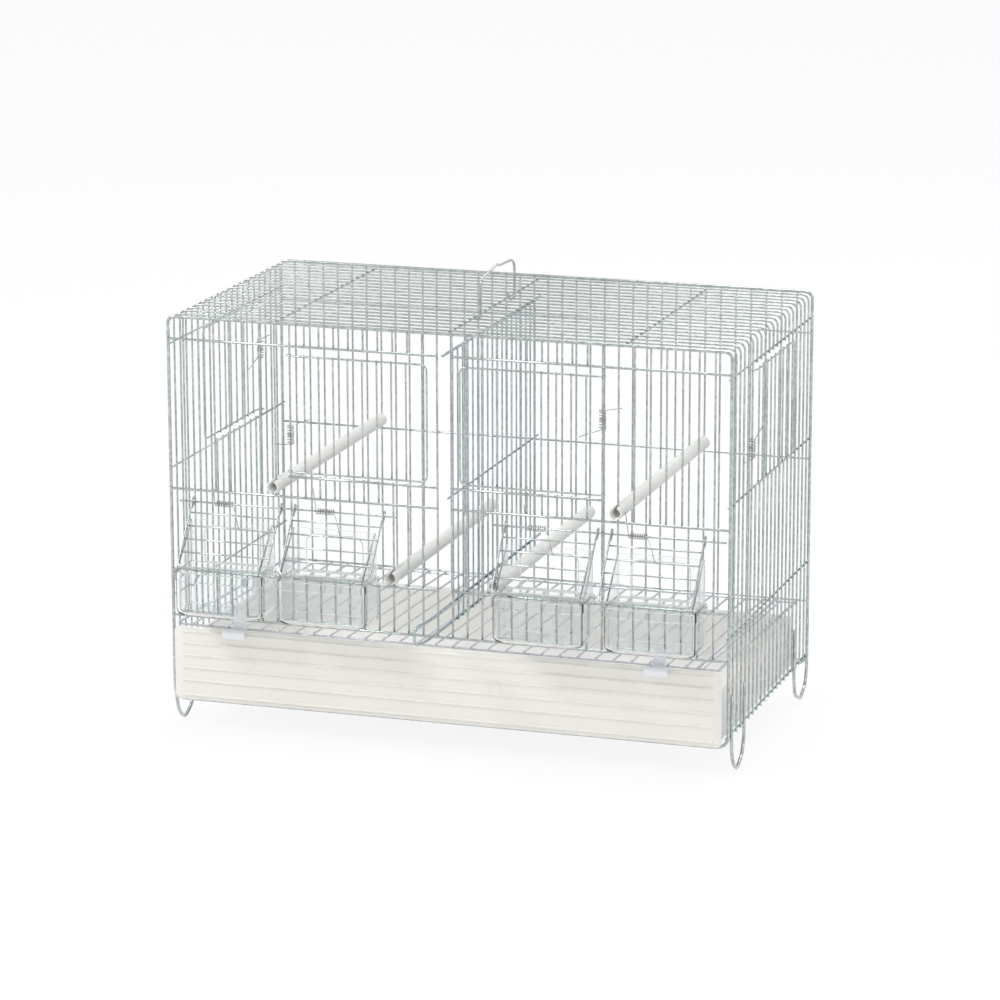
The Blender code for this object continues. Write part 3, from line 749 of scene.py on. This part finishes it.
def cut_away(obj, mesh):
    """Cuts a closed mesh out of a piece."""
    knife = bpy.data.objects.new("knife", mesh)
    bpy.context.scene.collection.objects.link(knife)
    modifier = obj.modifiers.new("slot", "BOOLEAN")
    modifier.object = knife
    modifier.operation = "DIFFERENCE"
    modifier.solver = "EXACT"
    bpy.context.view_layer.update()
    graph = bpy.context.evaluated_depsgraph_get()
    cut = bpy.data.meshes.new_from_object(obj.evaluated_get(graph), depsgraph=graph)
    obj.modifiers.clear()
    obj.data = cut
    bpy.data.objects.remove(knife)


def cup_ring(x, half, back, radius, z):
    outline = rounded(-half, -half - CUP_FORWARD, half, back, (radius, radius, 2.5, 2.5), 6)
    return [(x + a, b, z) for a, b in outline]


def cup_foot(x, half, back, radius, low, bend, angles):
    """Rings round a bowl's lower edge, which is rounded by bend and starts at the height low."""
    rings = []
    for degrees in angles:
        turn = math.radians(degrees)
        drop = bend * (1 - math.sin(turn))
        rise = bend * (1 - math.cos(turn))
        rings.append(cup_ring(x, half - drop, back - drop * 0.2, radius, low + rise))
    return rings


def cup_bowl(number, x, body):
    """A hollow bowl: up its outer wall, over the step and the rim, and down inside."""
    back = CUP_BACK_Y
    rings = cup_foot(x, 43.8, back, 7.0, 95.8, 6.5, (10, 30, 50, 70, 90))
    rings.append(cup_ring(x, 43.8, back, 7.0, 102.7))
    rings.append(cup_ring(x, 43.8, back, 7.0, 129.9))
    rings.append(cup_ring(x, 43.9, back, 7.0, 130.5))
    rings.append(cup_ring(x, 44.8, back, 7.4, 130.9))
    rings.append(cup_ring(x, 45.0, back, 7.5, 131.5))
    rings.append(cup_ring(x, 45.0, back, 7.5, 138.9))
    rings.append(cup_ring(x, 44.5, back - 0.2, 7.2, 139.6))
    rings.append(cup_ring(x, 42.4, back - 1.8, 5.8, 139.6))
    rings.append(cup_ring(x, 41.9, back - 2.0, 5.5, 139.0))
    rings.append(cup_ring(x, 41.8, back - 2.0, 5.5, 138.4))
    rings.append(cup_ring(x, 41.8, back - 2.0, 5.5, 103.2))
    rings += cup_foot(x, 41.8, back - 2.0, 5.5, 97.8, 5.0, (90, 70, 50, 30, 10))
    flat_normals(finish(f"cup_bowl_{number}", loft(rings), body, CLEAR, "clear_plastic", body))


def cup_hood(number, x, body):
    """A back wall with the feeding window and its lip, two sloping cheeks, and the ledge behind."""
    back = CUP_BACK_Y
    wall = rounded(x - HOOD_HALF, HOOD_LOW, x + HOOD_HALF, 181.5, (0, 0, 5, 5), 5)
    window = rounded(x - 28.0, 141.0, x + 28.0, 175.5, (3, 3, 8, 8), 5)
    mesh = solid(wall, "y", back - HOOD_WALL, back, [window])
    hood = finish(f"cup_hood_{number}", mesh, body, CLEAR, "clear_plastic", smooth=False)
    round_edges(hood, 0.4)
    # The lip is drawn in the milkier rim plastic as a painted highlight round the window.
    lip = Wires()
    line = rounded(x - 28.6, 140.7, x + 28.6, 176.1, (3, 3, 8.6, 8.6), 5)
    lip.add([(a, back - 2.1, b) for a, b in line], 0.5, 6, closed=True)
    lip.piece(f"cup_window_lip_{number}", body, CLEAR_RIM_PAINTED_HIGHLIGHT, "clear_plastic")
    near = back - 1.7
    cheek = [(near, HOOD_LOW), (near, 181.3), (-7.2, 181.3), (-44.2, 142.8), (-44.8, HOOD_LOW)]
    for side, low in (("left", x - HOOD_HALF), ("right", x + HOOD_HALF - CHEEK_WALL)):
        mesh = solid(cheek, "x", low, low + CHEEK_WALL)
        plate = finish(f"cup_cheek_{side}_{number}", mesh, body, CLEAR, "clear_plastic", smooth=False)
        round_edges(plate, 0.4)
        middle = low + CHEEK_WALL / 2
        slope = [(-6.9, 181.6), (-8.6, 180.4), (-43.8, 143.8), (-44.8, 140.3)]
        # The cheek's sloping edge is drawn in the milkier rim plastic as a painted highlight.
        edge = Wires()
        edge.add([(middle, y, z) for y, z in slope], 0.7, 6)
        edge.piece(f"cup_cheek_edge_{side}_{number}", body, CLEAR_RIM_PAINTED_HIGHLIGHT, "clear_plastic")
    plan = rounded(x - 32.0, back + 0.6, x + 32.0, 3.2, (0, 0, 3, 3), 4)
    mesh = solid(plan, "z", 131.7, 133.3)
    ledge = finish(f"cup_ledge_{number}", mesh, body, CLEAR, "clear_plastic", smooth=False)
    round_edges(ledge, 0.3)


def cups():
    for i, x in enumerate(CUP_X):
        body = f"feeder_cup_{i + 1}"
        cup_bowl(i + 1, x, body)
        cup_hood(i + 1, x, body)


def perch_ring(x, y, z, radius, depth):
    """One ring of a perch, waved by flutes of a depth."""
    points = []
    steps = FLUTES * STEPS_PER_FLUTE
    for i in range(steps):
        angle = 2 * math.pi * i / steps
        r = radius - depth * (0.5 - 0.5 * math.cos(FLUTES * angle))
        points.append((x + r * math.cos(angle), y, z + r * math.sin(angle)))
    return points


def perches():
    # Radius, flute depth and y: out of the bore's front end, along the outside, into its back end.
    profile = [(4.5, 0.0, 60.0), (4.5, 0.0, -9.6), (4.8, 0.0, -10.0), (6.1, 0.2, -10.0)]
    profile += [(6.5, 0.45, -9.3), (6.5, 0.45, 297.9)]
    profile += [(6.1, 0.2, 298.5), (4.8, 0.0, 298.5), (4.5, 0.0, 298.1), (4.5, 0.0, 240.0)]
    for name, (x, z) in PERCHES.items():
        rings = [perch_ring(x, y, z, radius, depth) for radius, depth, y in profile]
        tube = finish(name + "_tube", loft(rings), "cage", PERCH, "white_plastic", name)
        # The slot in its front end straddles a wire of the grille.
        slot = [(x - PERCH_SLOT_HALF, -14.0), (x + PERCH_SLOT_HALF, -14.0)]
        slot += arc(x, PERCH_SLOT_END, PERCH_SLOT_HALF, 0, 180, 8)
        cut_away(tube, solid(slot, "z", z - 9.0, z + 9.0))


def divider():
    wires = Wires()
    wires.add([(0.0, -6.0, DIVIDER_TOP), (0.0, DIVIDER_BACK_Y, DIVIDER_TOP)], DIVIDER_R)
    wires.add([(0.0, 8.0, DIVIDER_MIDDLE), (0.0, 290.0, DIVIDER_MIDDLE)], WIRE_R)
    # The lower wire comes out to the front, turns in the pull loop and goes back below itself.
    tip = [(-40.0, 112.6), (-62.0, 113.6), (-80.0, 115.4), (-87.0, 114.0), (-90.0, 108.0)]
    tip += [(-88.0, 101.5), (-80.0, 98.0), (-62.0, 95.5), (-40.0, 94.6)]
    loop = [(0.0, DIVIDER_BACK_Y, 113.0)] + smooth_path([(0.0, y, z) for y, z in tip], 5)
    loop += [(0.0, 0.0, DIVIDER_LOW), (0.0, DIVIDER_BACK_Y, DIVIDER_LOW)]
    wires.add(loop, DIVIDER_R)
    for i in range(18):
        y = 18.0 + PITCH * i
        wires.add([(1.9, y, DIVIDER_LOW - 1.2), (1.9, y, DIVIDER_TOP + 1.2)], DIVIDER_UPRIGHT_R)
    wires.piece("divider_wires", "divider", ZINC_BLUE, "zinc", "divider")


def floor_grille():
    front = FLOOR_FRONT
    back = FLOOR_BACK
    slope = (back[1] - front[1]) / (back[0] - front[0])
    wires = Wires()
    for y, z in (front, back):
        wires.add([(-FLOOR_HALF, y, z), (FLOOR_HALF, y, z)], WIRE_R)
    # Each wire's x, how far it lies above the two cross wires, and its radius.
    spots = []
    for i in range(15):
        x = FLOOR_PITCH / 2 + FLOOR_PITCH * i
        spots += [(-x, 1.75, WIRE_R), (x, 1.75, WIRE_R)]
    spots += [(-270.2, 1.9, FLOOR_EDGE_R), (249.5, 1.9, FLOOR_EDGE_R), (270.2, 1.9, FLOOR_EDGE_R)]
    for x, rise, radius in spots:
        low = (x, front[0] - 1.5, front[1] + rise - 1.5 * slope)
        high = (x, back[0] + 1.5, back[1] + rise + 1.5 * slope)
        wires.add([low, high], radius)
    wires.piece("floor_wires", "floor_grille", GALVANISED, "galvanised", "floor_grille")


def plate_ring(side, edge, y, radii):
    outline = rounded(-PLATE_HALF + side, PLATE_LOW + edge, PLATE_HALF - side, PLATE_HIGH - edge, radii, 8)
    return [(a, y, b) for a, b in outline]


def basin_ring(inset, z, foot=0.0):
    half = BASIN_HALF - inset - foot
    radii = (1.0, 1.0, 8.0 - inset, 8.0 - inset)
    outline = rounded(-half, BASIN_FRONT_Y + inset, half, BASIN_BACK_Y - inset - foot * 0.3, radii, 8)
    return [(a, b, z) for a, b in outline]


def tray():
    # The front plate: its two ends fall back from an upright crease.
    rings = [plate_ring(0.4, 0.4, -7.8, (4.6, 4.6, 7.6, 4.6))]
    rings.append(plate_ring(0.0, 0.0, -8.2, (5.0, 5.0, 8.0, 5.0)))
    rings.append(plate_ring(0.0, 0.0, -8.7, (5.0, 5.0, 8.0, 5.0)))
    rings.append(plate_ring(0.5, 0.4, -9.3, (4.6, 4.6, 7.6, 4.6)))
    rings.append(plate_ring(8.4, 0.9, -9.8, (2.0, 2.0, 3.0, 2.0)))
    rings.append(plate_ring(9.2, 1.2, -10.0, (1.5, 1.5, 2.5, 1.5)))
    finish("tray_front_plate", loft(rings), "tray", CREAM, "cream_plastic", "tray")
    for i, z in enumerate(RIB_Z):
        # A rib slopes down from the plate and ends in a crisp lower edge.
        bead = [(-9.7, z - 1.0), (-11.4, z - 1.0), (-11.8, z - 0.6)]
        bead += [(-11.8, z - 0.2), (-10.2, z + 1.4), (-9.7, z + 1.4)]
        mesh = solid(bead, "x", -RIB_HALF, RIB_HALF)
        rib = finish(f"tray_rib_{i + 1}", mesh, "tray", CREAM, "cream_plastic", smooth=False)
        round_edges(rib, 0.2)
    for name, x, z in (("left", -196.0, 43.0), ("right", 52.0, 41.0)):
        mark = Wires()
        mark.add([(a, -10.0, b) for a, b in arc(x, z, MOULD_MARK_R, 0, 345, 23)], 0.5, 6, closed=True)
        mark.piece(f"tray_mould_mark_{name}", "tray", CREAM, "cream_plastic")
    # The basin: up its rounded foot and its wall, over the rim, and down inside.
    rings = []
    for degrees in range(0, 91, 15):
        turn = math.radians(degrees)
        rings.append(basin_ring(0.5, 2.2 + 8.0 * (1 - math.cos(turn)), 8.0 * (1 - math.sin(turn))))
    rings += [basin_ring(0.5, 25.6), basin_ring(0.0, 26.6), basin_ring(0.0, 54.8), basin_ring(0.4, 55.7)]
    rings += [basin_ring(1.1, 56.0), basin_ring(1.9, 55.7), basin_ring(2.2, 54.8), basin_ring(2.4, 12.0)]
    rings += [basin_ring(3.4, 7.0), basin_ring(5.0, 4.8), basin_ring(7.0, 4.2)]
    # The basin wears the lighter cream, which is painted light in the shaded tray.
    finish("tray_basin", loft(rings), "tray", BASIN_PAINTED_LIGHT, "cream_plastic")


def clips():
    """Each clip: a lip in front of the tray's edge, a neck over it, a tongue and a hook behind it."""
    for name, x, tongue_x in (("left", -208.5, -206.0), ("right", 212.0, 212.3)):
        profile = [(-19.4, 69.0), (-18.0, 69.2), (-17.9, 74.2), (-17.2, 75.4), (-15.8, 75.7), (-11.6, 75.4)]
        profile += [(-11.6, 77.0), (-15.8, 77.3), (-17.6, 77.0), (-19.0, 75.8), (-19.5, 74.4)]
        neck = rounded(x - 5.0, -12.5, x + 5.0, -5.4, (1, 1, 1, 1), 3)
        tongue = rounded(tongue_x - 6.3, 75.4, tongue_x + 6.3, 92.0, (1, 1, 2, 2), 4)
        hook = rounded(x - 4.5, 67.0, x + 4.5, 75.6, (2, 2, 0, 0), 4)
        for part, mesh, edge, nodes in (
            ("lip", solid(profile, "x", x - 11.3, x + 11.3), 0.4, [f"tray_clip_{name}"]),
            ("neck", solid(neck, "z", 75.4, 77.0), 0.3, []),
            ("tongue", solid(tongue, "y", -7.0, -5.4), 0.4, []),
            ("hook", solid(hook, "y", -7.3, -5.7), 0.3, []),
        ):
            piece_name = f"clip_{part}_{name}"
            piece = finish(piece_name, mesh, "tray", WHITE, "white_plastic", *nodes, smooth=False)
            round_edges(piece, edge)


def seen(tree):
    """1 where the ray comes from the camera, a mirror or a clear piece, so these see plain white."""
    path = tree.nodes.new("ShaderNodeLightPath")
    total = path.outputs["Is Camera Ray"]
    for kind in ("Is Glossy Ray", "Is Transmission Ray"):
        node = tree.nodes.new("ShaderNodeMath")
        node.operation = "MAXIMUM"
        tree.links.new(total, node.inputs[0])
        tree.links.new(path.outputs[kind], node.inputs[1])
        total = node.outputs[0]
    return total


def studio_floor():
    """A matt pale floor, mixed with plain white for the camera so that only its shadows show."""
    mesh = bpy.data.meshes.new("floor")
    corners = [(-1, -1), (1, -1), (1, 1), (-1, 1)]
    mesh.from_pydata([(FLOOR_SIZE * a, FLOOR_SIZE * b, 0.0) for a, b in corners], [], [(0, 1, 2, 3)])
    floor = bpy.data.objects.new("studio_floor", mesh)
    bpy.context.scene.collection.objects.link(floor)
    mat, tree, shader = new_material("studio_floor")
    shader.inputs["Base Color"].default_value = (0.93, 0.93, 0.93, 1.0)
    shader.inputs["Roughness"].default_value = 0.9
    shader.inputs["Specular IOR Level"].default_value = 0.1
    white = tree.nodes.new("ShaderNodeEmission")
    blend = tree.nodes.new("ShaderNodeMixShader")
    share = tree.nodes.new("ShaderNodeMath")
    share.operation = "MULTIPLY"
    share.inputs[1].default_value = FLOOR_WHITE_SHARE
    tree.links.new(seen(tree), share.inputs[0])
    tree.links.new(share.outputs[0], blend.inputs["Fac"])
    tree.links.new(shader.outputs["BSDF"], blend.inputs[1])
    tree.links.new(white.outputs["Emission"], blend.inputs[2])
    tree.links.new(blend.outputs["Shader"], tree.nodes["Material Output"].inputs["Surface"])
    mesh.materials.append(mat)


def studio_world():
    """Soft light from all sides, behind a plain white background."""
    world = bpy.data.worlds.new("studio")
    bpy.context.scene.world = world
    world.use_nodes = True
    tree = world.node_tree
    plain = tree.nodes["Background"]
    plain.inputs["Color"].default_value = (0.98, 0.99, 1.0, 1.0)
    plain.inputs["Strength"].default_value = WORLD_STRENGTH
    bright = tree.nodes.new("ShaderNodeBackground")
    blend = tree.nodes.new("ShaderNodeMixShader")
    tree.links.new(seen(tree), blend.inputs["Fac"])
    tree.links.new(plain.outputs["Background"], blend.inputs[1])
    tree.links.new(bright.outputs["Background"], blend.inputs[2])
    tree.links.new(blend.outputs["Shader"], tree.nodes["World Output"].inputs["Surface"])


def lamps():
    for name, (place, size, power) in LAMPS.items():
        light = bpy.data.lights.new(name, "AREA")
        light.size = size
        light.energy = power
        lamp = bpy.data.objects.new(name, light)
        lamp.location = place
        lamp.rotation_euler = (LAMP_TARGET - Vector(place)).to_track_quat("-Z", "Y").to_euler()
        bpy.context.scene.collection.objects.link(lamp)


def camera():
    yaw = math.radians(CAMERA_YAW)
    pitch = math.radians(CAMERA_PITCH)
    roll = math.radians(CAMERA_ROLL)
    right = Vector((math.cos(yaw), math.sin(yaw), 0.0))
    forward = Vector((-math.sin(yaw) * math.cos(pitch), math.cos(yaw) * math.cos(pitch), -math.sin(pitch)))
    up = right.cross(forward)
    rolled_right = right * math.cos(roll) + up * math.sin(roll)
    rolled_up = -right * math.sin(roll) + up * math.cos(roll)
    data = bpy.data.cameras.new("camera")
    data.sensor_width = SENSOR
    data.lens = FOCAL_PX * SENSOR / IMAGE_PX
    data.clip_end = 100.0
    cam = bpy.data.objects.new("camera", data)
    basis = Matrix((rolled_right, rolled_up, -forward)).transposed().to_4x4()
    cam.matrix_world = Matrix.Translation((CAMERA_PLACE + SHIFT) * MM) @ basis
    bpy.context.scene.collection.objects.link(cam)
    bpy.context.scene.camera = cam


frames()
front()
back()
sides()
roof()
handle()
feet()
doors()
door_springs()
flaps()
flap_springs()
cups()
perches()
divider()
floor_grille()
tray()
clips()
studio_floor()
studio_world()
lamps()
camera()
bpy.context.scene.view_settings.view_transform = "Standard"
